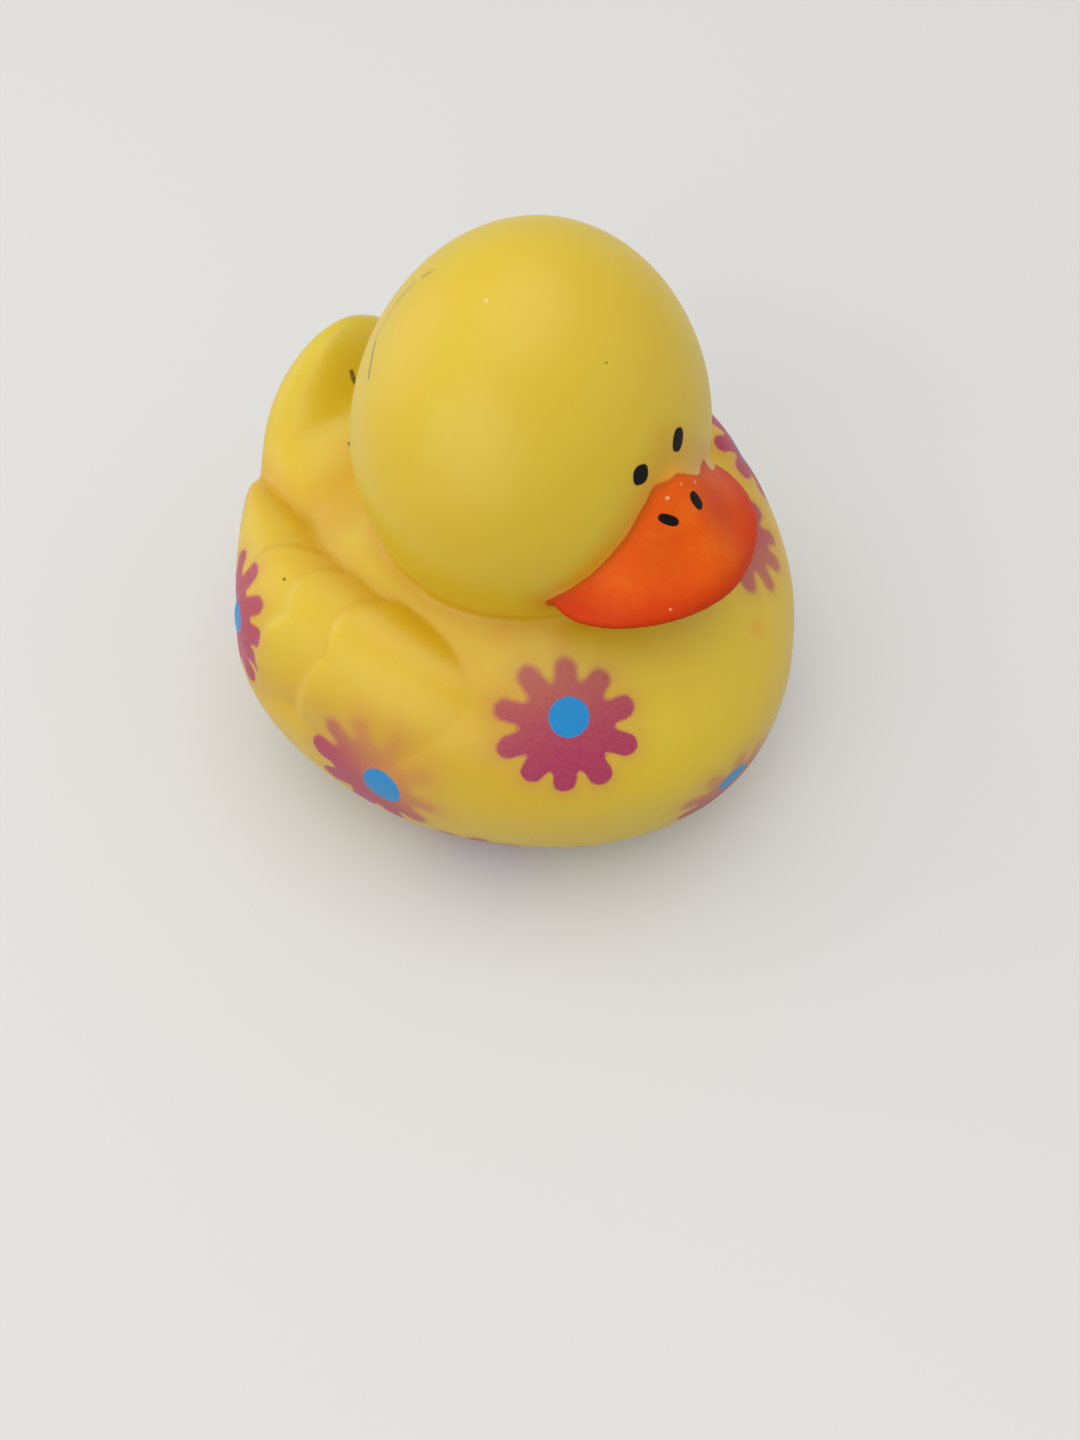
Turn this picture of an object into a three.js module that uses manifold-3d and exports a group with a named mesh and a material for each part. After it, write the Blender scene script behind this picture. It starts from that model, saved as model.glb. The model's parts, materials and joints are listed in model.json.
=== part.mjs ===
// Rubber duck, one hollow piece of soft moulded vinyl, about 50 mm long.
// Millimetres, +Z up. The duck looks along -Y and stands on its flat base at z = 0.
// The origin is on the base, under the middle of the duck's length and width.

import * as THREE from 'three';
import { mergeVertices } from 'three/addons/utils/BufferGeometryUtils.js';
import Module from 'manifold-3d';

const wasm = await Module();
wasm.setup();

// Driving dimensions
const skinThickness = 1.8;
const ventDiameter = 3;
const ventSides = 24;

const body = {
  width: 46.6,
  chestY: -24.7, // furthest point of the chest
  rearY: 24.2, // furthest point of the hull under the tail
  widestY: 4.6, // where the hull is widest, seen from above
  widestZ: 12.5, // where the hull is widest, seen from the front
  rise: 15.8, // from the widest height up to the middle of the back
  drop: 14.1, // from the widest height down to the bottom of the full round, below the base
  planPower: 1.94, // 2 is an ellipse, more is fuller
  topPower: 2.1,
  bottomPower: 2.8,
  sag: 9, // how much lower the dome is over the rear end
};

const head = {
  y: -0.7,
  z: 33.8,
  halfWidth: 13.5,
  halfDepth: 12.7,
  halfHeight: 14.5,
  cheeks: 0.097, // share by which the bottom is wider, and the crown narrower
};

// Back and tail are drawn along a line in the middle plane, from under the head up to the tip
const tail = {
  line: [[0, 13], [8, 14.5], [15, 17], [20.4, 23], [21.2, 30.2]], // y, z
  size: [[12, 10], [16, 12.6], [16.2, 9.4], [11.2, 5.4], [8.4, 3.6]], // half width, half thickness
  fullness: 2.5, // 2 is an ellipse
};

// The bill is a broad scoop with a ridge in the middle, which flares from the face
const bill = {
  halfWidth: 9.1,
  rootY: -11.6, // where the scoop is widest
  reach: 7.8, // from there to the tip
  planPower: 1.8,
  rimZ: 30.4,
  cornerSag: 0.9, // how much lower the rim lies at the two corners
  bridge: 7.1, // height of the middle line over the rim at its root
  arch: 1.25, // how fast the top falls away from the middle to both sides, more is faster
  hollow: { depth: 0.8, across: 0.36, forward: 0.6, size: 0.24 }, // dip on each side of the ridge
  slope: 0.9, // how the top comes down to the rim, 1 is straight
  lip: 1.1, // roundness of the rim above
  jaw: 2.2, // depth below the rim
};

const wing = {
  line: [[11, -17, 15], [14.5, -8, 14.5], [15.8, 2, 14.5], [15.6, 12, 16.2], [11.4, 21.2, 20.4]], // x, y, z
  size: [[5, 8], [5.8, 9.9], [6.2, 10.1], [7, 9.1], [4.6, 5.6]], // half thickness, half height
};

// Feather ends overlap like tiles, the first one nearest the tail.
// Seen from above each ends in two round lobes, a small one at the top of the wing
// and a large one down its side.
const feathers = {
  ends: [13, 7.8, 2.8], // y of the rear end of the upper lobe
  curve: [0.4, 0.22, 0.17], // how fast that lobe falls away to both sides
  upperX: 17.5,
  lowerX: 22.5,
  lowerCurve: 0.2,
  lowerStep: 1.1, // how much further back the lower lobe reaches
  innerX: 9,
  outerX: 26,
  frontY: -40, // in front of the whole duck
  top: 40, // over the highest point of the wings
  steps: 24, // points along the end of one feather
  height: 0.4, // each lies this much over the one behind it
};

function solidOf(geometry) {
  geometry.deleteAttribute('normal');
  geometry.deleteAttribute('uv');
  const merged = mergeVertices(geometry, 1e-4);
  return new wasm.Manifold(new wasm.Mesh({
    numProp: 3,
    vertProperties: merged.attributes.position.array,
    triVerts: merged.index.array,
  }));
}

// A ball of radius 1 with its poles on Z, whose points are moved by a form
function shaped(form, across, along) {
  const geometry = new THREE.SphereGeometry(1, across, along);
  geometry.rotateX(Math.PI / 2);
  const place = geometry.attributes.position;
  const point = new THREE.Vector3();
  for (let i = 0; i < place.count; i++) {
    point.fromBufferAttribute(place, i);
    form(point);
    place.setXYZ(i, point.x, point.y, point.z);
  }
  return solidOf(geometry);
}

// A quarter round that is fuller than a circle where power is more than 2
function fuller(value, power) {
  return Math.sign(value) * Math.abs(value) ** (2 / power);
}

// The hull is widest low down, with a full round under it and a dome over it
function makeHull(inset, across, along) {
  const front = body.widestY - body.chestY - inset;
  const back = body.rearY - body.widestY - inset;
  const side = body.width / 2 - inset;
  return shaped((p) => {
    const up = p.z > 0;
    const reach = Math.hypot(p.x, p.y);
    const power = up ? body.topPower : body.bottomPower;
    const out = fuller(reach, power);
    const angle = Math.atan2(p.y, p.x);
    const height = up ? body.rise - inset : body.drop - inset;
    p.x = side * out * fuller(Math.cos(angle), body.planPower);
    p.y = body.widestY + out * fuller(Math.sin(angle), body.planPower) * (p.y < 0 ? front : back);
    const behind = Math.max(p.y, 0) / body.rearY;
    const sag = up ? body.sag * behind ** 2 * fuller(p.z, power) : 0;
    p.z = body.widestZ + height * fuller(p.z, power) - sag;
  }, across, along);
}

function makeHead(inset, across, along) {
  return shaped((p) => {
    const spread = 1 - head.cheeks * p.z;
    p.x *= (head.halfWidth - inset) * spread;
    p.y = head.y + p.y * (head.halfDepth - inset) * spread;
    p.z = head.z + p.z * (head.halfHeight - inset);
  }, across, along);
}

function curveThrough(points) {
  return new THREE.CatmullRomCurve3(points.map((p) => new THREE.Vector3(...p)), false, 'catmullrom');
}

// A ball drawn out along a line in the middle plane, with a width and a thickness at each station
function drawnOut(line, size, inset, across, along) {
  const spine = curveThrough(line.map(([y, z]) => [0, y, z]));
  const girth = curveThrough(size.map(([a, b]) => [a, b, 0]));
  return shaped((p) => {
    const t = (p.z + 1) / 2;
    const centre = spine.getPoint(t);
    const ahead = spine.getTangent(t);
    const half = girth.getPoint(t);
    const reach = Math.hypot(p.x, p.y);
    const angle = Math.atan2(-p.y, p.x);
    const wide = reach * fuller(Math.cos(angle), tail.fullness) * (half.x - inset);
    const thick = reach * fuller(Math.sin(angle), tail.fullness) * (half.y - inset);
    p.set(wide, centre.y - ahead.z * thick, centre.z + ahead.y * thick);
  }, across, along);
}

function makeTail(inset, across, along) {
  return drawnOut(tail.line, tail.size, inset, across, along);
}

function makeBill() {
  return shaped((p) => {
    const angle = Math.atan2(p.y, p.x);
    const reach = Math.min(Math.hypot(p.x, p.y), 1);
    const across = reach * fuller(Math.cos(angle), bill.planPower);
    const forward = reach * fuller(Math.sin(angle), bill.planPower);
    const rim = bill.rimZ - bill.cornerSag * across ** 4;
    const arch = (1 - Math.min(Math.abs(across), 1) ** 2) ** bill.arch;
    const slope = (1 - reach) ** bill.slope;
    const { hollow } = bill;
    const away = Math.hypot(Math.abs(across) - hollow.across, -forward - hollow.forward) / hollow.size;
    const dip = hollow.depth * Math.exp(-(away ** 2));
    if (p.z > 0) {
      p.z = rim + bill.lip * p.z + bill.bridge * slope * arch - dip * p.z;
    } else {
      p.z = rim + bill.jaw * p.z;
    }
    p.x = bill.halfWidth * across;
    p.y = bill.rootY + bill.reach * forward;
  }, 40, 22);
}

// A ball drawn out along the side of the body, grown by the height of its feathers
function makeWing(side, grow) {
  const spine = curveThrough(wing.line);
  const girth = curveThrough(wing.size.map(([a, b]) => [a, b, 0]));
  return shaped((p) => {
    const t = (p.z + 1) / 2;
    const centre = spine.getPoint(t);
    const half = girth.getPoint(t);
    const out = centre.x + side * p.x * (half.x + grow);
    p.set(side * out, centre.y, centre.z - p.y * (half.y + grow));
  }, 28, 28);
}

// Rear end of a feather at a distance x from the middle plane
function featherEnd(index, x) {
  const upper = feathers.ends[index] - feathers.curve[index] * (x - feathers.upperX) ** 2;
  const lowest = feathers.ends[index] + feathers.lowerStep;
  const lower = lowest - feathers.lowerCurve * (x - feathers.lowerX) ** 2;
  return Math.max(upper, lower);
}

// Everything in front of the ends of one pair of feathers
function featherRegion(index) {
  const { innerX, outerX, frontY, steps } = feathers;
  const shape = new THREE.Shape();
  shape.moveTo(-outerX, frontY);
  shape.lineTo(outerX, frontY);
  for (const side of [1, -1]) {
    for (let i = 0; i <= steps; i++) {
      const share = side > 0 ? 1 - i / steps : i / steps;
      const x = THREE.MathUtils.lerp(innerX, outerX, share);
      shape.lineTo(side * x, featherEnd(index, x));
    }
  }
  const geometry = new THREE.ExtrudeGeometry(shape, { depth: feathers.top, bevelEnabled: false });
  return solidOf(geometry);
}

function makeWings() {
  let all = makeWing(1, 0).add(makeWing(-1, 0));
  for (let i = 0; i < feathers.ends.length; i++) {
    const grow = feathers.height * (i + 1);
    const grown = makeWing(1, grow).add(makeWing(-1, grow));
    all = all.add(grown.intersect(featherRegion(i)));
  }
  return all;
}

function makeVent() {
  const radius = ventDiameter / 2;
  const geometry = new THREE.CylinderGeometry(radius, radius, 4 * skinThickness, ventSides);
  geometry.rotateX(Math.PI / 2);
  return solidOf(geometry);
}

// A block wider than the duck, whose top cuts the rounds off flat
function makeFloor(top) {
  const width = 2 * body.width;
  const depth = body.width;
  const geometry = new THREE.BoxGeometry(width, width, depth);
  geometry.translate(0, 0, top - depth / 2);
  return solidOf(geometry);
}

function makeOutside() {
  return makeHull(0, 56, 34)
    .add(makeHead(0, 48, 36))
    .add(makeTail(0, 32, 24))
    .add(makeWings())
    .add(makeBill())
    .subtract(makeFloor(0));
}

function makeInside() {
  return makeHull(skinThickness, 24, 16)
    .add(makeHead(skinThickness, 24, 16))
    .add(makeTail(skinThickness, 16, 12))
    .subtract(makeFloor(skinThickness));
}

function meshOf(name, solid, material) {
  const { vertProperties, triVerts } = solid.getMesh();
  const geometry = new THREE.BufferGeometry();
  geometry.setAttribute('position', new THREE.BufferAttribute(vertProperties, 3));
  geometry.setIndex(new THREE.BufferAttribute(triVerts, 1));
  geometry.computeVertexNormals();
  const mesh = new THREE.Mesh(geometry, material);
  mesh.name = name;
  return mesh;
}

const vinyl = new THREE.MeshStandardMaterial({ color: 0xe3c22e, roughness: 0.45, metalness: 0 });

const duck = new THREE.Group();
duck.add(meshOf('duck', makeOutside().subtract(makeInside()).subtract(makeVent()), vinyl));

export default duck;
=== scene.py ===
import json
import math

import bmesh
import bpy
from mathutils import Matrix, Vector
from mathutils.bvhtree import BVHTree

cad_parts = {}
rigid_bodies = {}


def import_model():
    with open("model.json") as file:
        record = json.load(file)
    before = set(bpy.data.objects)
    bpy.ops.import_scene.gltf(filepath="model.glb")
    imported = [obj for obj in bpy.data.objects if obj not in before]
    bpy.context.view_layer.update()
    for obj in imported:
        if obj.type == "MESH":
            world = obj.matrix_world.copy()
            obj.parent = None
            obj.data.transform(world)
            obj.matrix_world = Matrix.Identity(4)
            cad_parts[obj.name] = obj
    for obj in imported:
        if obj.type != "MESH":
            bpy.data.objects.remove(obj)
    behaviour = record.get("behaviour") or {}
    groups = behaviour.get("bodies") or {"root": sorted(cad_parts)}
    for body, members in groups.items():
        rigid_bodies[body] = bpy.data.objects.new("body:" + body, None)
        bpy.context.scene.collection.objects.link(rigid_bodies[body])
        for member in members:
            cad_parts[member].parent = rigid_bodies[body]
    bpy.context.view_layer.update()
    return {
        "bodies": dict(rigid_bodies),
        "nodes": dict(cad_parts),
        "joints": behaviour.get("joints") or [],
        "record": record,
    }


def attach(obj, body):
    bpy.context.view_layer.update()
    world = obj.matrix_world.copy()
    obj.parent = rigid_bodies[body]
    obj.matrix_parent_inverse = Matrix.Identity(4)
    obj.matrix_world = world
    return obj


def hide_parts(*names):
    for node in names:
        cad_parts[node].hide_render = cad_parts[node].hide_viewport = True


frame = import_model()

scene = bpy.context.scene
millimetre = 0.001

# Camera, worked out from the duck's outline in the picture (1080 x 1440)
view = {
    "azimuth": -47.99,
    "elevation": 60.1,
    "aim": (-3.563, -4.70, 0.0),   # mm, where the middle of the picture meets the floor
    "distance": 105.0,             # mm
    "lens": 27.02,                 # mm, on a sensor of 36 mm along the long side
}


def makeCamera(view):
    turn = math.radians(view["azimuth"])
    tilt = math.radians(view["elevation"])
    back = Vector((math.sin(turn) * math.cos(tilt), -math.cos(turn) * math.cos(tilt), math.sin(tilt)))
    right = Vector((math.cos(turn), math.sin(turn), 0))
    up = back.cross(right)
    place = (Vector(view["aim"]) + back * view["distance"]) * millimetre
    data = bpy.data.cameras.new("camera")
    data.lens = view["lens"]
    data.sensor_width = 36
    data.clip_start = 0.005
    data.clip_end = 20
    camera = bpy.data.objects.new("camera", data)
    camera.matrix_world = Matrix((right, up, back)).transposed().to_4x4()
    camera.matrix_world.translation = place
    scene.collection.objects.link(camera)
    scene.camera = camera


makeCamera(view)
print("camera set")


# One socket of a node tree, so that shader maths can be written as expressions
class Flow:
    def __init__(self, tree, socket):
        self.tree = tree
        self.socket = socket

    def node(self, kind, settings=None, inputs=None, output=0):
        made = self.tree.nodes.new(kind)
        for key, value in (settings or {}).items():
            setattr(made, key, value)
        for key, value in (inputs or {}).items():
            if isinstance(value, Flow):
                self.tree.links.new(value.socket, made.inputs[key])
            else:
                made.inputs[key].default_value = value
        return Flow(self.tree, made.outputs[output])

    def maths(self, operation, *values, clamp=False):
        inputs = dict(enumerate((self,) + values))
        return self.node("ShaderNodeMath", {"operation": operation, "use_clamp": clamp}, inputs)

    def __add__(self, other):
        return self.maths("ADD", other)

    __radd__ = __add__

    def __sub__(self, other):
        return self.maths("SUBTRACT", other)

    def __rsub__(self, other):
        return (self * -1) + other

    def __mul__(self, other):
        return self.maths("MULTIPLY", other)

    __rmul__ = __mul__

    def __truediv__(self, other):
        return self.maths("DIVIDE", other)

    def __pow__(self, other):
        return self.maths("POWER", other)

    def least(self, other):
        return self.maths("MINIMUM", other)

    def most(self, other):
        return self.maths("MAXIMUM", other)

    def size(self):
        return self.maths("ABSOLUTE")

    def root(self):
        return self.most(0).maths("SQRT")

    def clear(self):   # kept between 0 and 1
        return self.maths("ADD", 0, clamp=True)

    def rising(self, low, high):   # 0 below low, 1 above high, smooth between
        return self.node("ShaderNodeMapRange", {"interpolation_type": "SMOOTHSTEP"},
                         {"Value": self, "From Min": low, "From Max": high})

    def falling(self, low, high):
        return 1 - self.rising(low, high)

    def parts(self):
        made = self.node("ShaderNodeSeparateXYZ", inputs={0: self})
        outputs = made.socket.node.outputs
        return [Flow(self.tree, outputs[i]) for i in range(3)]

    def over(self, below, share):   # this colour laid over another one
        return self.node("ShaderNodeMix", {"data_type": "RGBA"},
                         {"Factor": share, 6: below, 7: self}, output=2)


# The duck's skin. All sizes are in millimetres, and the duck looks along -Y
skin = {
    "hull": {"width": 46.6, "chestY": -24.7, "rearY": 24.2, "widestY": 4.6, "widestZ": 12.5, "rise": 15.8,
             "drop": 14.1, "planPower": 1.94, "topPower": 2.1, "bottomPower": 2.8, "sag": 9},
    "head": {"y": -0.7, "z": 33.8, "halfWidth": 13.5, "halfDepth": 12.7, "halfHeight": 14.5, "cheeks": 0.097},
    "tail": {"line": [(0, 0, 13), (0, 8, 14.5), (0, 15, 17), (0, 20.4, 23), (0, 21.2, 30.2)],
             "size": [(12, 10), (16, 12.6), (16.2, 9.4), (11.2, 5.4), (8.4, 3.6)], "fullness": 2.5},
    "wing": {"line": [(11, -17, 15), (14.5, -8, 14.5), (15.8, 2, 14.5), (15.6, 12, 16.2), (11.4, 21.2, 20.4)],
             "size": [(5, 8), (5.8, 9.9), (6.2, 10.1), (7, 9.1), (4.6, 5.6)]},
    "feathers": {"ends": [13, 7.8, 2.8], "curve": [0.4, 0.22, 0.17], "upperX": 17.5, "lowerX": 22.5,
                 "lowerCurve": 0.2, "lowerStep": 1.1, "height": 0.4, "shoulder": (-0.15, 0.7),
                 "lookFor": 2.5, "innerX": 7, "top": 28, "rear": 16},
    "bill": {"shift": 0.3, "halfWidth": 9.1, "rootY": -11.6, "reach": 7.8, "planPower": 1.8, "rimZ": 30.4,
             "cornerSag": 0.9, "bridge": 7.1, "arch": 1.25, "slope": 0.9, "lip": 1.1, "jaw": 2.2,
             "hollowDepth": 0.9, "hollowAcross": 0.36, "hollowForward": 0.6, "hollowSize": 0.26},
    "ballFaces": (128, 80),   # round the ball that every form starts from, and along it
    "grain": 0.37,          # size of the fine mesh
    "insideGrain": 1.4,
    "creases": {            # share of smoothing, full and none at these distances from a crease
        "tail": (1, 0.6, 4.5), "wing": (0.06, 0.2, 1.0), "wingFoot": (1, 1.5, 5), "neck": (0.12, 0.3, 1.2),
        "bill": (0.03, 0.3, 0.8), "tailToWing": (0.2, 1.5), "tailToHead": (0.5, 2), "passes": 120,
    },
    # A wing melts into the side of the body between these heights, and towards the chest
    "wingFoot": {"height": (14, 19), "front": (0, 9), "valley": 5, "clearOfBill": 2},
    "thickness": 1.8,
    "ventDiameter": 3,
    "ventSides": 32,
    "sharpOver": 50,        # degrees between faces that keep a sharp edge
}


def fuller(value, power):
    return math.copysign(abs(value) ** (2 / power), value)


def alongLine(points, share):   # a smooth line through the points, and its direction
    points = [Vector(p) for p in points]
    points = [2 * points[0] - points[1]] + points + [2 * points[-1] - points[-2]]
    place = share * (len(points) - 3)
    index = min(int(place), len(points) - 4)
    t = place - index
    before, start, end, after = points[index:index + 4]
    leave = (end - before) / 2
    arrive = (after - start) / 2
    bend = 2 * start - 2 * end + leave + arrive
    swing = -3 * start + 3 * end - 2 * leave - arrive
    where = start + leave * t + swing * t * t + bend * t * t * t
    ahead = leave + 2 * swing * t + 3 * bend * t * t
    return where, ahead.normalized()


def makeBall(across, along):   # a ball of radius 1, which every form starts from
    mesh = bmesh.new()
    bmesh.ops.create_uvsphere(mesh, u_segments=across, v_segments=along, radius=1)
    data = bpy.data.meshes.new("ball")
    mesh.to_mesh(data)
    mesh.free()
    return data


def shaped(ball, form):   # a ball whose points are moved by a form
    mesh = bmesh.new()
    mesh.from_mesh(ball)
    for vertex in mesh.verts:
        vertex.co = form(vertex.co)
    bmesh.ops.recalc_face_normals(mesh, faces=mesh.faces)
    data = bpy.data.meshes.new("form")
    mesh.to_mesh(data)
    tree = BVHTree.FromBMesh(mesh)
    mesh.free()
    return data, tree


def hullForm(p, inset=0):
    hull = skin["hull"]
    up = p.z > 0
    power = hull["topPower"] if up else hull["bottomPower"]
    out = fuller(min(math.hypot(p.x, p.y), 1), power)
    angle = math.atan2(p.y, p.x)
    side = hull["width"] / 2 - inset
    depth = (hull["rearY"] - hull["widestY"] if p.y > 0 else hull["widestY"] - hull["chestY"]) - inset
    height = (hull["rise"] if up else hull["drop"]) - inset
    x = side * out * fuller(math.cos(angle), hull["planPower"])
    y = hull["widestY"] + depth * out * fuller(math.sin(angle), hull["planPower"])
    sag = hull["sag"] * (max(y, 0) / hull["rearY"]) ** 2 * fuller(p.z, power) if up else 0
    return Vector((x, y, hull["widestZ"] + height * fuller(p.z, power) - sag))


def headForm(p, inset=0):
    head = skin["head"]
    spread = 1 - head["cheeks"] * p.z
    return Vector((p.x * (head["halfWidth"] - inset) * spread,
                   head["y"] + p.y * (head["halfDepth"] - inset) * spread,
                   head["z"] + p.z * (head["halfHeight"] - inset)))


def tailForm(p, inset=0):
    where, ahead = alongLine(skin["tail"]["line"], (p.z + 1) / 2)
    half, _ = alongLine([(*s, 0) for s in skin["tail"]["size"]], (p.z + 1) / 2)
    reach = math.hypot(p.x, p.y)
    angle = math.atan2(-p.y, p.x)
    wide = reach * fuller(math.cos(angle), skin["tail"]["fullness"]) * (half.x - inset)
    thick = reach * fuller(math.sin(angle), skin["tail"]["fullness"]) * (half.y - inset)
    return Vector((wide, where.y - ahead.z * thick, where.z + ahead.y * thick))


def wingForm(p, side, grow=0):
    where, _ = alongLine(skin["wing"]["line"], (p.z + 1) / 2)
    half, _ = alongLine([(*s, 0) for s in skin["wing"]["size"]], (p.z + 1) / 2)
    out = where.x + side * p.x * (half.x + grow)
    return Vector((side * out, where.y, where.z - p.y * (half.y + grow)))


def billForm(p):
    bill = skin["bill"]
    angle = math.atan2(p.y, p.x)
    reach = min(math.hypot(p.x, p.y), 1)
    across = reach * fuller(math.cos(angle), bill["planPower"])
    forward = reach * fuller(math.sin(angle), bill["planPower"])
    rim = bill["rimZ"] - bill["cornerSag"] * across ** 4
    arch = (1 - min(abs(across), 1) ** 2) ** bill["arch"]
    slope = (1 - reach) ** bill["slope"]
    away = math.hypot(abs(across) - bill["hollowAcross"], -forward - bill["hollowForward"])
    dip = bill["hollowDepth"] * math.exp(-((away / bill["hollowSize"]) ** 2))
    if p.z > 0:
        z = rim + bill["lip"] * p.z + bill["bridge"] * slope * arch - dip * p.z
    else:
        z = rim + bill["jaw"] * p.z
    return Vector((bill["shift"] + bill["halfWidth"] * across, bill["rootY"] + bill["reach"] * forward, z))


def pieceOf(name, mesh):
    data = bpy.data.meshes.new(name)
    mesh.to_mesh(data)
    mesh.free()
    piece = bpy.data.objects.new(name, data)
    scene.collection.objects.link(piece)
    return piece


def settle(piece):   # applies the modifiers of a piece
    graph = bpy.context.evaluated_depsgraph_get()
    data = bpy.data.meshes.new_from_object(piece.evaluated_get(graph))
    piece.modifiers.clear()
    old = piece.data
    piece.data = data
    bpy.data.meshes.remove(old)


def remesh(piece, size):
    change = piece.modifiers.new("remesh", "REMESH")
    change.mode = "VOXEL"
    change.voxel_size = size
    settle(piece)


def soften(piece, name, weights, passes):   # smooths where the weights say
    group = piece.vertex_groups.new(name=name)
    for index, weight in enumerate(weights):
        if weight > 0.01:
            group.add([index], weight, "REPLACE")
    change = piece.modifiers.new("soften", "SMOOTH")
    change.factor = 0.5
    change.iterations = passes
    change.vertex_group = name
    settle(piece)
    piece.vertex_groups.clear()


def ramp(value, low, high):   # 0 below low, 1 above high, smooth between
    share = min(max((value - low) / (high - low), 0), 1)
    return share * share * (3 - 2 * share)


def featherEnd(index, x):   # rear end of a feather, at a distance x from the middle plane
    feathers = skin["feathers"]
    end = feathers["ends"][index]
    upper = end - feathers["curve"][index] * (x - feathers["upperX"]) ** 2
    lower = end + feathers["lowerStep"] - feathers["lowerCurve"] * (x - feathers["lowerX"]) ** 2
    return max(upper, lower)


def featherRise(place, normal):   # how far the overlapping feathers lift a place off the plain wing
    feathers = skin["feathers"]
    rise = below = 0
    for index, pair in enumerate(grownWings):
        wing = pair[0 if place.x > 0 else 1]
        reach = feathers["lookFor"] * feathers["height"] * (index + 1)
        _, out, _, away = wing.ray_cast(place, normal, reach)
        lift = away if away and out.dot(normal) > 0 else 0
        inside = featherEnd(index, abs(place.x)) - place.y
        rise += max(lift - below, 0) * ramp(inside, *feathers["shoulder"])
        below = max(lift, below)
    return rise


def rounding(crease, *apart):   # share of smoothing at a place so far from the surfaces that meet
    weight, full, none = skin["creases"][crease]
    return weight * (1 - ramp(max(apart), full, none))


def wingFoot(place):   # 1 where a wing melts into the body, 0 where its edge is free
    foot = skin["wingFoot"]
    return max(1 - ramp(place.z, *foot["height"]), ramp(-place.y, *foot["front"]))


def softness(foot, hull, head, tail, wing, bill):
    creases = skin["creases"]
    body = min(hull, tail)
    apart = ramp(wing, *creases["tailToWing"]) * ramp(head, *creases["tailToHead"])
    onTail = apart * rounding("tail", hull, tail)
    onWing = (1 - foot) * rounding("wing", wing, body)
    onFoot = foot * rounding("wingFoot", wing, body)
    return max(onTail, onWing, onFoot, rounding("neck", head, body), rounding("bill", head, bill))


def roundCreases(piece):
    valley = skin["wingFoot"]["valley"]
    trees = [tree for _, tree in forms.values()]
    normals = [v.normal.copy() for v in piece.data.vertices]
    weights = []
    for vertex, normal in zip(piece.data.vertices, normals):
        hull, head, tail, left, right, bill = [tree.find_nearest(vertex.co)[3] for tree in trees]
        wing = min(left, right)
        foot = wingFoot(vertex.co)
        weights.append(softness(foot, hull, head, tail, wing, bill))
        if max(head, bill) > skin["wingFoot"]["clearOfBill"]:
            near = max(valley - max(wing, min(hull, tail)), 0)
            vertex.co += normal * foot * near * near / (4 * valley)   # fills the valley beside the wing
    soften(piece, "creases", weights, skin["creases"]["passes"])


def raiseFeathers(piece):
    feathers = skin["feathers"]
    normals = [v.normal.copy() for v in piece.data.vertices]
    for vertex, normal in zip(piece.data.vertices, normals):
        place = vertex.co
        if abs(place.x) > feathers["innerX"] and place.z < feathers["top"] and place.y < feathers["rear"]:
            vertex.co += normal * featherRise(place, normal)


def makeSkin():
    mesh = bmesh.new()
    for data, _ in forms.values():
        mesh.from_mesh(data)
    piece = pieceOf("duck_skin", mesh)
    remesh(piece, skin["grain"])
    print("skin joined")
    roundCreases(piece)
    print("creases rounded")
    raiseFeathers(piece)
    print("feathers raised")
    return piece


def cutLevel(mesh, height):   # keeps what lies above a height, and closes it with a flat face
    cut = bmesh.ops.bisect_plane(mesh, geom=mesh.verts[:] + mesh.edges[:] + mesh.faces[:], dist=0.001,
                                 plane_co=(0, 0, height), plane_no=(0, 0, -1), clear_outer=True)
    rim = [e for e in cut["geom_cut"] if isinstance(e, bmesh.types.BMEdge)]
    bmesh.ops.holes_fill(mesh, edges=rim, sides=0)
    bmesh.ops.triangulate(mesh, faces=[f for f in mesh.faces if len(f.verts) > 4])


def makeSpace():   # the hollow inside the skin
    mesh = bmesh.new()
    for form in (hullForm, headForm, tailForm):
        mesh.from_mesh(shaped(ball, lambda p: form(p, skin["thickness"]))[0])
    space = pieceOf("space", mesh)
    remesh(space, skin["insideGrain"])
    mesh = bmesh.new()
    mesh.from_mesh(space.data)
    cutLevel(mesh, skin["thickness"])
    mesh.to_mesh(space.data)
    mesh.free()
    return space


def makeVent():   # a plug of the size of the air hole in the base
    mesh = bmesh.new()
    bmesh.ops.create_cone(mesh, cap_ends=True, segments=skin["ventSides"], radius1=skin["ventDiameter"] / 2,
                          radius2=skin["ventDiameter"] / 2, depth=4 * skin["thickness"])
    return pieceOf("vent", mesh)


def cutAway(piece, tool):
    change = piece.modifiers.new("cut", "BOOLEAN")
    change.operation = "DIFFERENCE"
    change.solver = "MANIFOLD"
    change.object = tool
    settle(piece)
    bpy.data.objects.remove(tool)


def finishSkin(piece):
    mesh = bmesh.new()
    mesh.from_mesh(piece.data)
    cutLevel(mesh, 0)
    mesh.to_mesh(piece.data)
    mesh.free()
    for tool in (makeSpace(), makeVent()):
        cutAway(piece, tool)
    mesh = bmesh.new()
    mesh.from_mesh(piece.data)
    bmesh.ops.triangulate(mesh, faces=[f for f in mesh.faces if len(f.verts) > 4])
    bmesh.ops.scale(mesh, vec=(millimetre,) * 3, verts=mesh.verts)
    for face in mesh.faces:
        face.smooth = True
    mesh.to_mesh(piece.data)
    mesh.free()
    piece.data.set_sharp_from_angle(angle=math.radians(skin["sharpOver"]))
    print("inside and vent cut")


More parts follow.
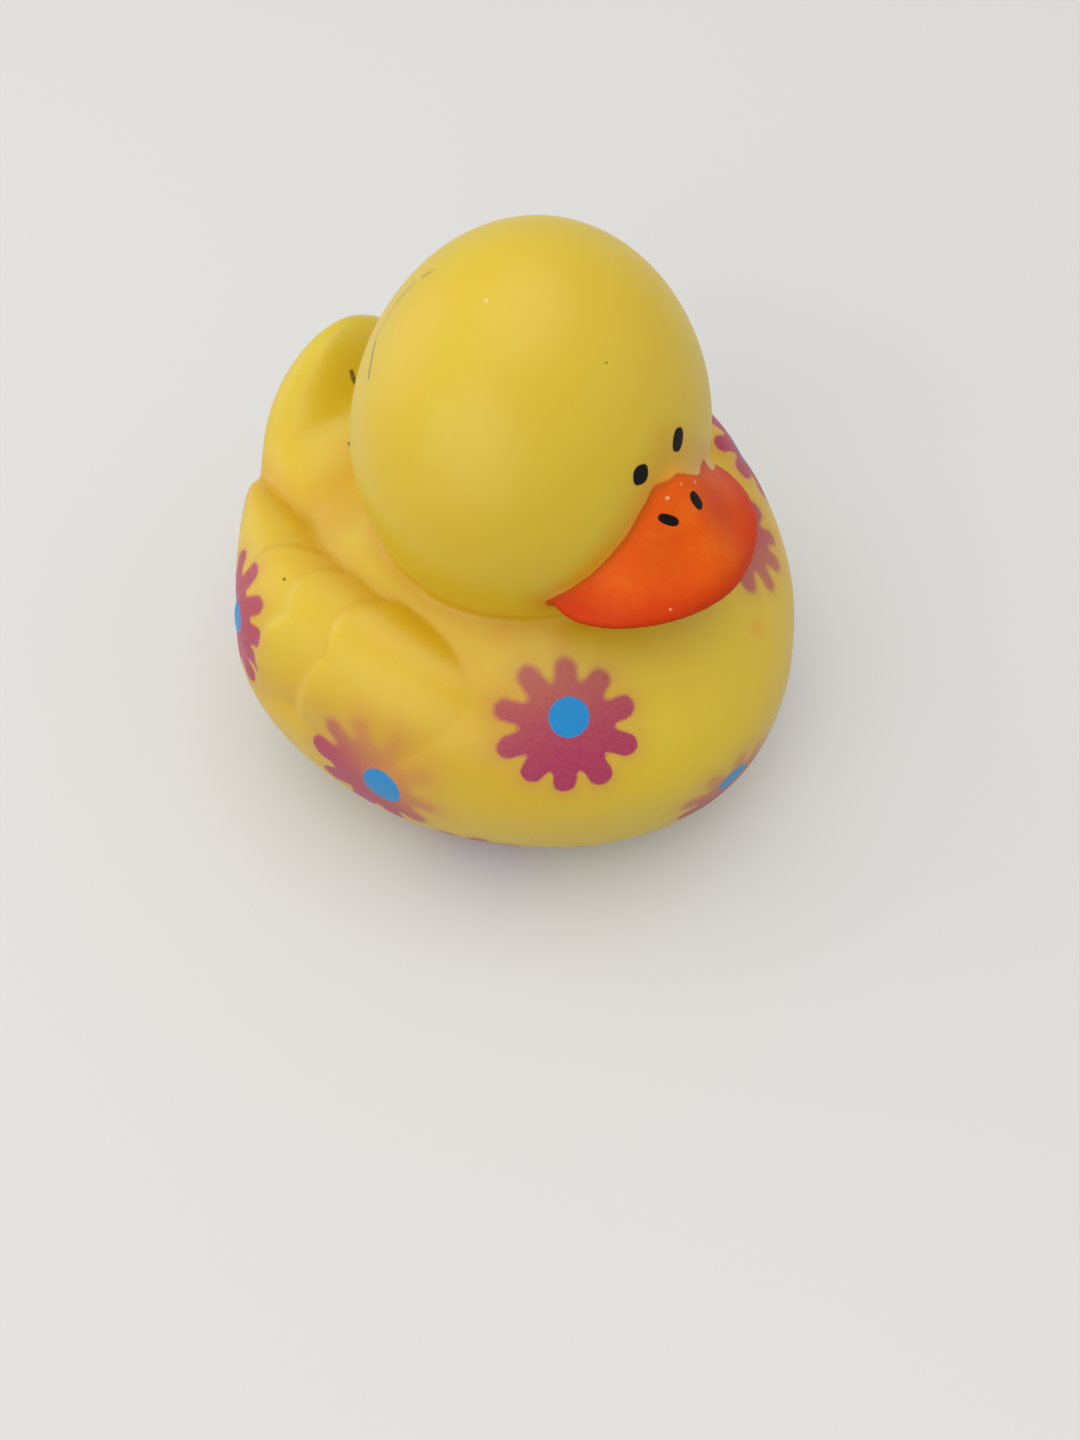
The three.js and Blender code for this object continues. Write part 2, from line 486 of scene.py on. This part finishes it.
# Paint on the skin, in millimetres. Turns are in degrees. A flower's paint is thin on the side that thinAt
# points to, wide and tall stretch it along the skin and up it, and disc is where its blue middle lies
paint = {
    "flowers": [
        {"at": (-11.87, -14.74, 21.41), "disc": (0.33, 0.72), "turn": 6.6, "thinAt": 95, "thin": 0.25},
        {"at": (-22.08, -3.89, 14.24), "disc": (0.7, -0.29), "turn": 30, "wide": 1.1, "tall": 1.35,
         "thinAt": 55, "thin": 0.85},
        {"at": (-21.25, 13.04, 19.1), "disc": (0.2, 0.6), "turn": 30, "thinAt": 90, "thin": 0.1},
        {"at": (-1.9, -24.6, 10.1), "disc": (0, 1.7), "turn": 13, "tall": 0.86, "thinAt": 90, "thin": 0.6},
        {"at": (9.9, -14.0, 22.9), "disc": (-0.3, 0.7), "turn": 19, "wide": 0.85,
         "thinAt": -110, "thin": 0.3},
        {"at": (19.3, -7.7, 20.2), "disc": (0, 0.8), "turn": 27, "thinAt": 200, "thin": 0.1},
        {"at": (-18.2, -11.2, 2.7), "disc": (0.2, 0.3), "turn": 18, "thinAt": 90, "thin": 0.2},
        {"at": (13.2, -18.8, 9.0), "disc": (0.3, 0.4), "turn": 5, "thinAt": 80, "thin": 0.4},
        {"at": (22.4, 3.2, 11.0), "disc": (-0.3, 0.3), "turn": 22, "thinAt": 120, "thin": 0.5},
        {"at": (19.9, 14.2, 20.0), "disc": (0.2, 0.5), "turn": 8, "thinAt": 90, "thin": 0.3},
        {"at": (8.5, 22.8, 9.5), "disc": (0.1, 0.5), "turn": 27, "thinAt": 70, "thin": 0.4},
        {"at": (-9.0, 22.6, 10.5), "disc": (-0.4, 0.2), "turn": 15, "thinAt": 100, "thin": 0.6},
    ],
    "petals": 10,
    "petalReach": 5.45,
    "petalHalfWidth": 0.95,
    "petalUneven": {"width": 0.08, "reach": 0.3},   # share of the width, and mm
    "heart": 3.5,
    "corner": 0.6,              # size of the round between two petals
    "disc": 1.54,
    "thinFrom": -0.6,           # where a flower's paint starts to thin, as a share of its reach
    "wrap": -0.2,               # a flower doesn't reach skin that faces further away than this
    "marks": [
        {"at": (-2.12, -12.13, 38.51), "half": (0.64, 0.70), "turn": -10},   # eyes
        {"at": (1.73, -12.13, 38.72), "half": (0.60, 0.80), "turn": -36},
        {"at": (-1.50, -14.37, 35.30), "half": (0.75, 0.35), "turn": -25},   # nostrils
        {"at": (0.89, -14.85, 35.60), "half": (0.70, 0.46), "turn": 82},
    ],
    "markReach": 4,             # a mark counts within this distance,
    "markMargin": 0.5,          # and is painted this far beyond its edge at most
    "billZone": {"frontOf": -8, "low": 24, "high": 38},
    "billEdge": [(0.6, 37.2), (2.6, 35.3), (5, 34.53), (9, 28.45)],   # x and z of the orange's upper edge,
    "billEdgeClear": 0.5,       # which counts within this distance of the head,
    "billEdgeFade": 4,          # and rises this fast beyond it
    "overCrease": 0.35,         # how far the orange runs over the crease round the bill
    "overBody": 0.15,
    "overFace": {"most": 0.6, "rightOf": -1.5, "above": 31.5},   # where it runs up on the face
    # how far the painted crease shade reaches from a crease, and above which height it lies
    "creaseShadeReach": 3.2,
    "creaseShadeAbove": 10,
    "far": 9,                   # given as the distance wherever there is nothing near
}


def faceFrame(piece, at):   # a place on the skin, its normal, and the directions across and up beside it
    _, where, normal, _ = piece.closest_point_on_mesh(Vector(at) * millimetre)
    across = Vector((0, 0, 1)).cross(normal).normalized()
    return where / millimetre, normal, across, normal.cross(across)


def spot(place, frame):   # where a place lies beside another one, measured along the skin
    where, _, across, up = frame
    away = place - where
    flat = Vector((away.dot(across), away.dot(up)))
    if flat.length > 0:
        flat *= away.length / flat.length
    return flat


def turned(flat, degrees):
    angle = math.radians(degrees)
    return Vector((flat.x * math.cos(angle) + flat.y * math.sin(angle),
                   flat.y * math.cos(angle) - flat.x * math.sin(angle)))


def billEdge(x):   # height of the upper edge of the orange paint on the face
    edge = paint["billEdge"]
    height = edge[0][1]
    for (start, high), (end, low) in zip(edge, edge[1:]):
        height += (low - high) * min(max((x - start) / (end - start), 0), 1)
    return height


def billPaint(place):   # how far a place lies inside the orange paint
    zone = paint["billZone"]
    if place.y > zone["frontOf"] or not zone["low"] < place.z < zone["high"]:
        return -paint["far"]
    head, bill, hull = [forms[name][1].find_nearest(place)[3] for name in ("head", "bill", "hull")]
    face = paint["overFace"]
    inside = min(head - bill + paint["overCrease"], hull - bill + paint["overBody"])
    onFace = min(place.z - face["above"], place.x - face["rightOf"], face["most"])
    above = billEdge(place.x) - place.z + paint["billEdgeFade"] * max(head - paint["billEdgeClear"], 0)
    return min(max(inside, onFace), above)


def petalShape(here, flower, number):   # how far a place lies outside the petals of a flower
    step = 2 * math.pi / paint["petals"]
    angle = math.atan2(here.y, here.x) - math.radians(flower["turn"])
    petal = round(angle / step)
    away = angle - petal * step
    uneven = paint["petalUneven"]
    half = paint["petalHalfWidth"] * (1 + uneven["width"] * math.sin(3 * petal + number))
    reach = paint["petalReach"] + uneven["reach"] * math.sin(5 * petal + 2 * number)
    along = here.length * math.cos(away)
    aside = here.length * math.sin(away)
    finger = math.hypot(max(along - reach + half, 0), aside) - half
    heart = here.length - paint["heart"]
    share = max(1 - abs(finger - heart) / paint["corner"], 0)
    return min(finger, heart) - paint["corner"] / 4 * share ** 2


def flowerPaint(place, normal, flowers):   # outside the petals, outside the disc, and how thick the paint is
    shape = disc = paint["far"]
    density = 0
    for number, (face, flower) in enumerate(flowers):
        if (place - face[0]).length < paint["far"] and normal.dot(face[1]) > paint["wrap"]:
            here = spot(place, face)
            here.x /= flower.get("wide", 1)
            here.y /= flower.get("tall", 1)
            outside = petalShape(here, flower, number)
            if outside < shape:
                shape = outside
                disc = (here - Vector(flower["disc"])).length
                thin = turned(here, flower["thinAt"]).x / paint["petalReach"]
                density = 1 - flower["thin"] * ramp(thin, paint["thinFrom"], 1)
    return shape, disc, density


def markPaint(place, marks):   # where a place lies in an eye or nostril, whose edge is at 1
    found = Vector((paint["far"], paint["far"]))
    beyond = paint["far"]
    for face, mark in marks:
        if (place - face[0]).length < paint["markReach"]:
            here = turned(spot(place, face), mark["turn"])
            here = Vector((here.x / mark["half"][0], here.y / mark["half"][1]))
            if here.length < found.length:
                found = here
                beyond = (here.length - 1) * min(mark["half"])
    return found.x, found.y, 1 if beyond < paint["markMargin"] else 0


def overRim(place):   # height of a place over the rim of the bill
    bill = skin["bill"]
    return place.z - bill["rimZ"] + bill["cornerSag"] * (place.x / bill["halfWidth"]) ** 4


def creaseShadePaint(place):   # painted crease shade: 1 in the bottom of a crease, 0 away from it
    near = sorted(tree.find_nearest(place)[3] for _, tree in forms.values())
    return 1 - ramp(near[1], 0, paint["creaseShadeReach"]) if place.z > paint["creaseShadeAbove"] else 0


def placePaint(piece):
    flowers = [(faceFrame(piece, f["at"]), f) for f in paint["flowers"]]
    marks = [(faceFrame(piece, m["at"]), m) for m in paint["marks"]]
    names = ("flowerMap", "markMap", "billAndShadeMap")
    for name in names:
        piece.data.attributes.new(name, "FLOAT_VECTOR", "POINT")
    flowerMap, markMap, billAndShadeMap = [piece.data.attributes[name].data for name in names]
    for index, vertex in enumerate(piece.data.vertices):
        place = vertex.co / millimetre
        flowerMap[index].vector = flowerPaint(place, vertex.normal, flowers)
        markMap[index].vector = markPaint(place, marks)
        # the bill paint, the height over the rim that places the rim's painted shade, and the painted crease
        # shade
        billAndShadeMap[index].vector = (billPaint(place), overRim(place), creaseShadePaint(place))


# Wear in millimetres: the scuff, the stroke and the chip follow lines, a speck is a dark dot and a pale one
# is a pale fleck, each with its size, and overspray is orange dust, with a size and a strength. The two pale
# dots in the neck crease are painted glints
wear = {
    "scuff": [(-3.5, 4.33, 46.2), (-4.29, 5.48, 45.05), (-5.04, 6.04, 44.17), (-5.94, 6.27, 43.34),
              (-7.02, 6.42, 42.25), (-7.52, 6.3, 41.91)],
    "stroke": [(-7.52, 6.3, 41.91), (-8.39, 5.75, 41.48), (-9.26, 5.24, 40.86)],
    "chip": [(-1.0, 18.7, 27.5), (-1.15, 18.4, 26.8)],
    "speck": [((-17.9, 8.8, 24.5), 0.16), ((-4.96, 15.34, 24.6), 0.2), ((-1.4, -8.18, 44.85), 0.09),
              ((-10.66, -10.06, 24.35), 0.12)],
    # the second and third pale dots, in the neck crease, are painted glints; the others are pale flecks
    "pale": [((-4.38, -1.05, 47.33), 0.22), ((-12.14, -1.18, 25.84), 0.28), ((-11.48, -4.47, 25.56), 0.4),
             ((-0.88, -13.63, 36.39), 0.22), ((0.4, -13.73, 36.76), 0.2), ((1.81, -13.93, 35.96), 0.2),
             ((-7.29, -14.54, 30.27), 0.2), ((-4.36, -17.38, 30.92), 0.18)],
    "overspray": [((-8.22, -10.77, 29.87), 1.3, 0.5), ((-8.18, -10.84, 24.95), 1.6, 0.12),
                  ((5.23, -19.8, 20.77), 1.6, 0.3), ((-11.14, -7.56, 24.94), 1.8, 0.12)],
}

colours = {
    "yellow": (0.72, 0.53, 0.026, 1),
    "yellowWarm": (0.73, 0.505, 0.020, 1),
    # painted shade: a deeper gold laid in the bottom of creases
    "creaseShadeGold": (0.68, 0.38, 0.006, 1),
    "petal": (0.41, 0.014, 0.100, 1),
    "petalThin": (0.56, 0.11, 0.07, 1),
    "disc": (0.001, 0.26, 0.61, 1),
    "orange": (0.80, 0.105, 0.003, 1),
    "orangeThin": (0.82, 0.20, 0.012, 1),
    # red of the bill's grain, and painted shade in its hollows, on its far side and at its rim
    "red": (0.62, 0.035, 0.001, 1),
    "rust": (0.50, 0.10, 0.004, 1),
    "black": (0.004, 0.004, 0.003, 1),
    "scuff": (0.22, 0.12, 0.05, 1),
    "dirt": (0.035, 0.022, 0.008, 1),
    # pale dots: painted glints in the neck crease, and pale flecks elsewhere
    "glintAndBare": (0.92, 0.72, 0.42, 1),
}

finish = {
    "blotches": {"mottle": 9, "ripple": 3, "patch": 2.6, "cloud": 1.6, "dimple": 1.2, "gap": 1.1,
                 "fine": 0.3},   # mm across
    "ragged": {"petal": 0.3, "petalCloud": 0.25, "disc": 0.1, "bill": 0.2, "rim": 0.9, "corner": 0.4,
               "mark": 0.08, "stroke": 0.12, "chip": 0.25, "speck": 0.1, "pale": 0.3},   # stray of an edge
    # the hollow, far side and rim fades bound painted shade on the bill
    "edges": {"mottle": (0.35, 0.65), "patch": (0.45, 0.75), "gap": (0.35, 0.6), "grain": (0.5, 0.8),
              "hollow": (0.1, 1.5), "farSideShade": (1, 7), "rim": (0.3, 1.9), "corner": (0, 0.7),
              "bill": (-0.10, 0.10), "mark": (0.92, 1.08), "disc": (-0.06, 0.06), "thinPink": (0.3, 0.9),
              "scuff": (0.05, 0.35), "stroke": (0.08, 0.22), "chip": (0.12, 0.3), "speck": (0.5, 1.2),
              "pale": (0, 0.9)},   # between which each fades in or out
    # the crease, far side and rim covers lay painted shade, and the pale cover lays pale flecks and painted
    # glints
    "cover": {"crease": 0.9, "patch": 0.4, "grain": 0.25, "farSideShade": 0.35, "rim": 0.85, "corner": 0.7,
              "scuff": 0.45, "stroke": 0.8, "chip": 0.8, "speck": 0.8, "pale": 0.6},
    "flower": {"blur": 0.10, "thinBlur": 0.9, "thinCover": 0.30, "fullCover": 0.68, "speckle": (0.86, 0.24),
               "haze": 0.22, "hazeReach": 2.4},
    # orange round the bill paint: overspray on the face, and painted orange bounce light on the chest under
    # the bill
    "dustAndBounce": {"reach": 2.2, "cover": 0.30, "speckle": 0.2},
    # where the painted shade in the bill's two hollows lies, and how strong it is on each side
    "shadedHollows": {"aside": 3.3, "y": -16.0, "half": (2.2, 2.4), "right": 0.35, "left": 0.6},
    "markPower": 2.5,           # 2 is an oval, more is squarer
    "roughness": 0.38,
    "rippleRoughness": 0.08,
    "paintRoughness": 0.05,
    "heights": {"fine": 0.35, "dimple": 0.8, "paint": 1.0},   # shares of the bump's depth
    "bumpStrength": 0.6,
    "bumpDepth": 0.00002,       # m
    "glow": 0.35,               # light that passes through the vinyl
    "glowReach": 0.002,         # m
    "glowColour": (1.0, 0.6, 0.12),
    "mattRoughness": 0.5,       # the sprayed bill and the black marks
    "mattGloss": 0.12,
}


def tint(place, name):
    made = place.node("ShaderNodeRGB")
    made.socket.default_value = colours[name]
    return made


def ragged(edge, blotches, name):   # an edge that strays by a noise
    return edge + (blotches - 0.5) * finish["ragged"][name]


def noise(place, name, detail=3, rough=0.5):
    scale = 1 / finish["blotches"][name]
    return place.node("ShaderNodeTexNoise", inputs={"Vector": place, "Scale": scale,
                                                    "Detail": detail, "Roughness": rough})


def mapped(place, name):
    return place.node("ShaderNodeAttribute", {"attribute_name": name}, output="Vector").parts()


def fromPoint(place, point):
    return place.node("ShaderNodeVectorMath", {"operation": "DISTANCE"}, {0: place, 1: point}, output="Value")


def fromLine(place, start, end):   # distance to a line between two points
    along = Vector(end) - Vector(start)
    away = place.node("ShaderNodeVectorMath", {"operation": "SUBTRACT"}, {0: place, 1: start})
    share = place.node("ShaderNodeVectorMath", {"operation": "DOT_PRODUCT"},
                       {0: away, 1: along / along.length_squared}, output="Value").clear()
    back = place.node("ShaderNodeVectorMath", {"operation": "SCALE"}, {0: along, "Scale": share})
    return place.node("ShaderNodeVectorMath", {"operation": "DISTANCE"}, {0: away, 1: back}, output="Value")


def fromLines(place, points):
    found = fromLine(place, points[0], points[1])
    for start, end in zip(points[1:], points[2:]):
        found = found.least(fromLine(place, start, end))
    return found


def paintFlowers(place, colour, fine, cloud):   # sprayed through a mask: thin paint has a soft edge
    look = finish["flower"]
    shape, disc, density = mapped(place, "flowerMap")
    edge = ragged(ragged(shape, fine, "petal"), cloud, "petalCloud")
    blur = look["blur"] + (1 - density) * look["thinBlur"]
    cover = (1 - (edge / blur * 0.5 + 0.5).clear()) * (look["thinCover"] + density * look["fullCover"])
    cover = cover * (look["speckle"][0] + fine * look["speckle"][1])
    haze = (1 - shape.most(0) / look["hazeReach"]).clear() ** 2 * look["haze"] * density.rising(0, 0.1)
    petals = cover.most(haze).clear()
    middle = (ragged(disc, fine, "disc") - paint["disc"]).falling(*finish["edges"]["disc"])
    pink = tint(place, "petal").over(tint(place, "petalThin"), density.rising(*finish["edges"]["thinPink"]))
    colour = tint(place, "disc").over(pink.over(colour, petals), middle)
    return colour, petals.most(middle)


def billShadeColour(place, orange):   # painted shade: a deeper red in the two hollows of the bill, and on its far side
    edges = finish["edges"]
    shadedHollows = finish["shadedHollows"]
    x, y, _ = place.parts()
    for side, share in ((-1, shadedHollows["right"]), (1, shadedHollows["left"])):
        across = (x - side * shadedHollows["aside"]) / shadedHollows["half"][0]
        forward = (y - shadedHollows["y"]) / shadedHollows["half"][1]
        away = (across ** 2 + forward ** 2).root()
        orange = tint(place, "red").over(orange, away.falling(*edges["hollow"]) * share)
    # the far side of the bill is painted redder, as shade
    return tint(place, "red").over(orange, x.rising(*edges["farSideShade"]) * finish["cover"]["farSideShade"])


def paintBill(place, colour, fine, cloud, depth, aboveRim):
    dustAndBounce = finish["dustAndBounce"]
    edges = finish["edges"]
    cover = finish["cover"]
    depth = ragged(depth, cloud, "bill")
    # orange overspray round the bill, and painted orange bounce light below it
    near = ((depth + dustAndBounce["reach"]) / dustAndBounce["reach"]).clear() ** 3
    colour = tint(place, "orangeThin").over(colour, near * (dustAndBounce["cover"] + fine * dustAndBounce["speckle"]))
    patches = noise(place, "patch", 3, 0.6).rising(*edges["patch"]) * cover["patch"]
    orange = tint(place, "orangeThin").over(tint(place, "orange"), patches)
    # painted shade in the bill's hollows and on its far side
    orange = billShadeColour(place, orange)
    # painted shade: the lower rim of the bill, which faces down, is painted a deeper red
    rim = ragged(aboveRim, cloud, "rim").falling(*edges["rim"]) * cover["rim"]
    orange = tint(place, "red").over(orange, rim)
    orange = tint(place, "red").over(orange, fine.rising(*edges["grain"]) * cover["grain"])
    corner = ragged(depth, fine, "corner").falling(*edges["corner"]) * cover["corner"]
    orange = tint(place, "rust").over(orange, corner)
    bill = depth.rising(*edges["bill"])
    colour = orange.over(colour, bill)
    for point, size, strength in wear["overspray"]:
        share = (fromPoint(place, point) / size).falling(0, 1) * strength * (1 - bill)
        colour = tint(place, "orangeThin").over(colour, share)
    return colour, bill


def paintMarks(place, colour, fine):   # eyes and nostrils, with square-shouldered ends
    power = finish["markPower"]
    across, upward, inside = mapped(place, "markMap")
    oval = (across.size() ** power + upward.size() ** power) ** (1 / power)
    marks = ragged(oval, fine, "mark").falling(*finish["edges"]["mark"]) * inside.rising(0.6, 1)
    return tint(place, "black").over(colour, marks), marks


def addWear(place, colour, fine):
    edges = finish["edges"]
    cover = finish["cover"]
    gaps = noise(place, "gap", 3, 0.6).rising(*edges["gap"])
    scuff = fromLines(place, wear["scuff"]).falling(*edges["scuff"]) * gaps
    colour = tint(place, "scuff").over(colour, scuff * cover["scuff"])
    for name, mark in (("stroke", "scuff"), ("chip", "dirt")):
        line = ragged(fromLines(place, wear[name]), fine, name).falling(*edges[name])
        colour = tint(place, mark).over(colour, line * cover[name])
    # dark specks, and pale dots, two of which are painted glints in the neck crease
    for name, mark in (("speck", "dirt"), ("pale", "glintAndBare")):
        for point, size in wear[name]:
            dot = (ragged(fromPoint(place, point), fine, name) / size).falling(*edges[name])
            colour = tint(place, mark).over(colour, dot * cover[name])
    return colour


def makeVinyl():
    material = bpy.data.materials.new("painted_vinyl")
    material.use_nodes = True
    tree = material.node_tree
    shader = tree.nodes["Principled BSDF"]
    place = Flow(tree, None).node("ShaderNodeTexCoord", output="Object")
    place = place.node("ShaderNodeVectorMath", {"operation": "SCALE"}, {0: place, "Scale": 1 / millimetre})

    fine = noise(place, "fine", 3, 0.7)
    cloud = noise(place, "cloud", 4, 0.6)
    depth, aboveRim, creaseShade = mapped(place, "billAndShadeMap")
    mottle = noise(place, "mottle").rising(*finish["edges"]["mottle"])
    colour = tint(place, "yellowWarm").over(tint(place, "yellow"), mottle)
    # painted shade: deeper gold in the bottom of creases
    colour = tint(place, "creaseShadeGold").over(colour, creaseShade ** 1.3 * finish["cover"]["crease"])
    colour, flowers = paintFlowers(place, colour, fine, cloud)
    colour, orange = paintBill(place, colour, fine, cloud, depth, aboveRim)
    colour, marks = paintMarks(place, colour, fine)
    colour = addWear(place, colour, fine)

    painted = flowers.most(orange).most(marks)
    ripple = noise(place, "ripple") - 0.5
    dimple = noise(place, "dimple", 2) - 0.5
    roughness = ripple * finish["rippleRoughness"] + painted * finish["paintRoughness"] + finish["roughness"]
    heights = finish["heights"]
    height = (fine - 0.5) * heights["fine"] + dimple * heights["dimple"] + painted * heights["paint"]
    bump = place.node("ShaderNodeBump", inputs={"Height": height, "Strength": finish["bumpStrength"],
                                                "Distance": finish["bumpDepth"]})
    for name, value in (("Base Color", colour), ("Roughness", roughness), ("Normal", bump)):
        tree.links.new(value.socket, shader.inputs[name])
    shader.inputs["Subsurface Weight"].default_value = finish["glow"]
    shader.inputs["Subsurface Radius"].default_value = finish["glowColour"]
    shader.inputs["Subsurface Scale"].default_value = finish["glowReach"]
    matt = place.node("ShaderNodeBsdfPrincipled", {}, {"Base Color": colour, "Normal": bump,
                                                       "Roughness": finish["mattRoughness"],
                                                       "Specular IOR Level": finish["mattGloss"]})
    glossy = Flow(tree, shader.outputs[0])
    both = place.node("ShaderNodeMixShader", {}, {0: orange.most(marks), 1: glossy, 2: matt})
    tree.links.new(both.socket, tree.nodes["Material Output"].inputs["Surface"])
    return material


ball = makeBall(*skin["ballFaces"])
forms = {name: shaped(ball, form) for name, form in (
    ("hull", hullForm), ("head", headForm), ("tail", tailForm), ("left", lambda p: wingForm(p, 1)),
    ("right", lambda p: wingForm(p, -1)), ("bill", billForm))}
grownWings = []
for number in range(len(skin["feathers"]["ends"])):   # one pair of wings for each layer of feathers
    grow = skin["feathers"]["height"] * (number + 1)
    grownWings.append([shaped(ball, lambda p: wingForm(p, side, grow))[1] for side in (1, -1)])
print("forms made")
duckSkin = makeSkin()
finishSkin(duckSkin)
placePaint(duckSkin)
print("paint placed")
duckSkin.data.materials.clear()
duckSkin.data.materials.append(makeVinyl())
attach(duckSkin, "root")
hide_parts("duck")
print("skin made")


# Floor and light
studio = {
    "floorHalf": 1.5,                   # m
    "floorRoughness": 0.8,
    "floorColour": (0.74, 0.73, 0.71, 1),
    "floorBounce": (0.22, 0.21, 0.20, 1),   # what the floor throws back at the duck
    "skyColour": (1.0, 1.0, 1.0, 1),
    "skyStrength": 0.56,
    "lamps": [                          # where from, metres away, size in metres, watts
        {"name": "lampTop", "from": (0.0, 0.05, 1.0), "away": 0.6, "size": 0.7, "power": 1.45},
        {"name": "lampLeft", "from": (-0.90, -0.10, 0.30), "away": 0.6, "size": 0.7, "power": 1.5},
        {"name": "lampBack", "from": (-0.35, 0.88, 0.30), "away": 0.6, "size": 0.5, "power": 0.6},
        {"name": "lampRight", "from": (0.55, -0.75, 0.35), "away": 0.6, "size": 0.7, "power": 0.25},
    ],
}


def makeFloor():
    mesh = bmesh.new()
    bmesh.ops.create_grid(mesh, x_segments=1, y_segments=1, size=studio["floorHalf"])
    floor = pieceOf("floor", mesh)
    material = bpy.data.materials.new("pale_floor")
    material.use_nodes = True
    shader = material.node_tree.nodes["Principled BSDF"]
    tools = Flow(material.node_tree, None)
    rays = [tools.node("ShaderNodeLightPath", output=name)
            for name in ("Is Camera Ray", "Is Glossy Ray", "Is Transmission Ray")]
    seen = rays[0].most(rays[1]).most(rays[2])
    colour = tools.node("ShaderNodeMix", {"data_type": "RGBA"},
                        {"Factor": seen, 6: studio["floorBounce"], 7: studio["floorColour"]}, output=2)
    material.node_tree.links.new(colour.socket, shader.inputs["Base Color"])
    shader.inputs["Roughness"].default_value = studio["floorRoughness"]
    floor.data.materials.append(material)


def makeLight():
    world = bpy.data.worlds.new("studio")
    world.use_nodes = True
    ground = world.node_tree.nodes["Background"]
    ground.inputs["Color"].default_value = studio["skyColour"]
    ground.inputs["Strength"].default_value = studio["skyStrength"]
    scene.world = world
    for lamp in studio["lamps"]:
        data = bpy.data.lights.new(lamp["name"], "AREA")
        data.shape = "DISK"
        data.size = lamp["size"]
        data.energy = lamp["power"]
        light = bpy.data.objects.new(lamp["name"], data)
        toward = Vector(lamp["from"]).normalized()
        light.location = toward * lamp["away"]
        light.rotation_euler = toward.to_track_quat("Z", "Y").to_euler()
        scene.collection.objects.link(light)


makeFloor()
makeLight()
scene.view_settings.view_transform = "Standard"
print("studio made")
